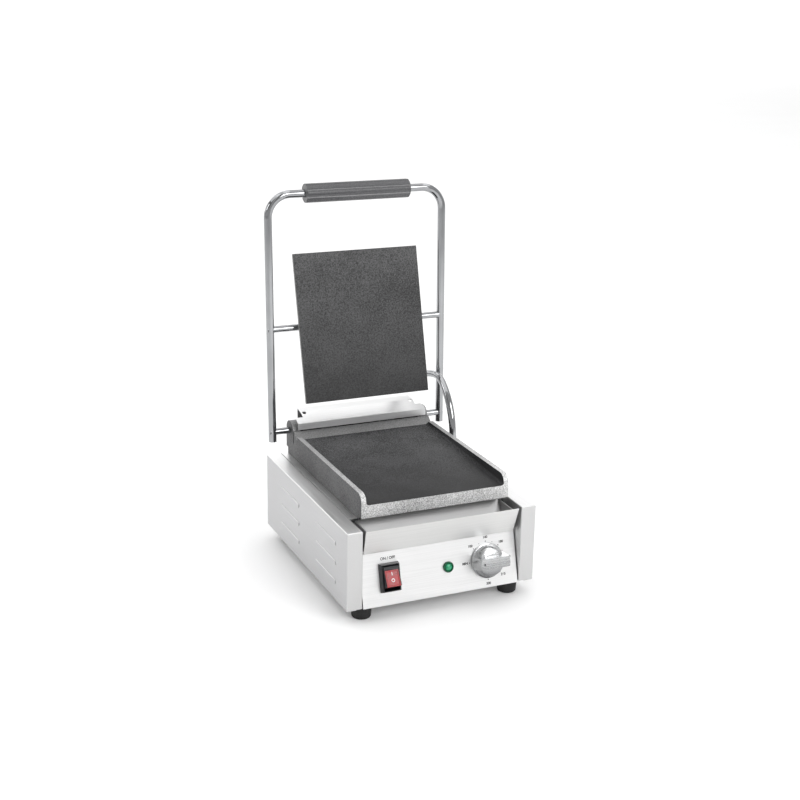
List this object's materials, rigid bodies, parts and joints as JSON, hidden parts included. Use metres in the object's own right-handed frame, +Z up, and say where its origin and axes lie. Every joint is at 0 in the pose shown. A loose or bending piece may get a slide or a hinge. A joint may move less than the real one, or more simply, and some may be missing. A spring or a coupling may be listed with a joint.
{
  "type": "panini press",
  "caption": "Commercial single contact grill, open: flat plates, sprung swinging lid on a bent chrome tube, stainless body, front controls and a pull-out drip tray.",
  "frame": {"origin": "centre of the overall box, at the underside of the feet", "axes": "+Z up, +X to the right seen from the front, +Y towards the back"},
  "size_m": [0.2948, 0.3864, 0.5556],
  "materials": {
    "stainless_sheet": "fine brushed",
    "black_rubber": "matte",
    "screw_steel": "bright",
    "black_plastic": "satin",
    "pale_plastic": "matte",
    "red_plastic": "gloss",
    "green_plastic": "gloss",
    "copper_bulb": "drawn",
    "knob_metal": "brushed",
    "cast_iron": "sand cast, machined faces",
    "element_steel": "heat darkened",
    "chrome_tube": "polished",
    "dark_steel": "satin black"
  },
  "bodies": {
    "base": {"left_side_panel": "stainless_sheet", "right_side_panel": "stainless_sheet", "base_pan": "stainless_sheet", "top_deck": "stainless_sheet", "rear_panel": "stainless_sheet", "control_panel": "stainless_sheet", "tray_shelf": "stainless_sheet", "feet": "black_rubber", "foot_screws": "screw_steel", "rear_screws": "screw_steel", "cable_gland": "black_plastic", "terminal_block": "pale_plastic", "switch_housing": "black_plastic", "lamp_bezel": "green_plastic", "lamp_lens": "green_plastic", "thermostat": "pale_plastic", "thermostat_bulb": "copper_bulb", "lower_plate": "cast_iron", "lower_element": "element_steel", "lower_clamp": "stainless_sheet", "hinge_cover": "stainless_sheet", "cover_screws": "screw_steel", "conduit_lower": "chrome_tube", "conduit_gland_base": "chrome_tube"},
    "switch_rocker": {"rocker": "black_plastic", "rocker_lens": "red_plastic"},
    "dial": {"spindle": "screw_steel", "knob": "knob_metal"},
    "tray": {"drip_tray": "stainless_sheet"},
    "lid": {"lid_frame": "chrome_tube", "handle_grip": "black_plastic", "hinge_rod": "chrome_tube", "torsion_springs": "screw_steel", "pivot_pins": "chrome_tube"},
    "grill_plate": {"upper_plate": "cast_iron", "pivot_blocks": "cast_iron", "pivot_collars": "dark_steel", "upper_element": "element_steel", "upper_clamp": "stainless_sheet", "upper_cover": "stainless_sheet", "upper_screws": "screw_steel", "conduit_upper": "chrome_tube", "conduit_gland_lid": "chrome_tube"}
  },
  "joints": [
    {"name": "lid_hinge", "type": "hinge", "parent": "base", "child": "lid", "pos_m": [0, 0.14475, 0.179], "axis": [1, 0, 0], "range_deg": [0, 89.3], "deforming": ["conduit_lower"]},
    {"name": "plate_tilt", "type": "hinge", "parent": "lid", "child": "grill_plate", "pos_m": [0, 0.15036, 0.3396], "axis": [1, 0, 0], "range_deg": [0, 17.7], "deforming": ["conduit_upper"]},
    {"name": "knob_turn", "type": "hinge", "parent": "base", "child": "dial", "pos_m": [0.074, -0.16342, 0.05824], "axis": [0, 0.9677, -0.2521], "range_deg": [0, 270]},
    {"name": "switch_rock", "type": "hinge", "parent": "base", "child": "switch_rocker", "pos_m": [-0.078, -0.16342, 0.05824], "axis": [1, 0, 0], "range_deg": [0, 24]},
    {"name": "tray_slide", "type": "slide", "parent": "base", "child": "tray", "axis": [0, -1, 0], "range_m": [0, 0.08]}
  ],
  "couplings": [
    {"joint": "plate_tilt", "follows": "lid_hinge", "ratio": 0.1978}
  ]
}
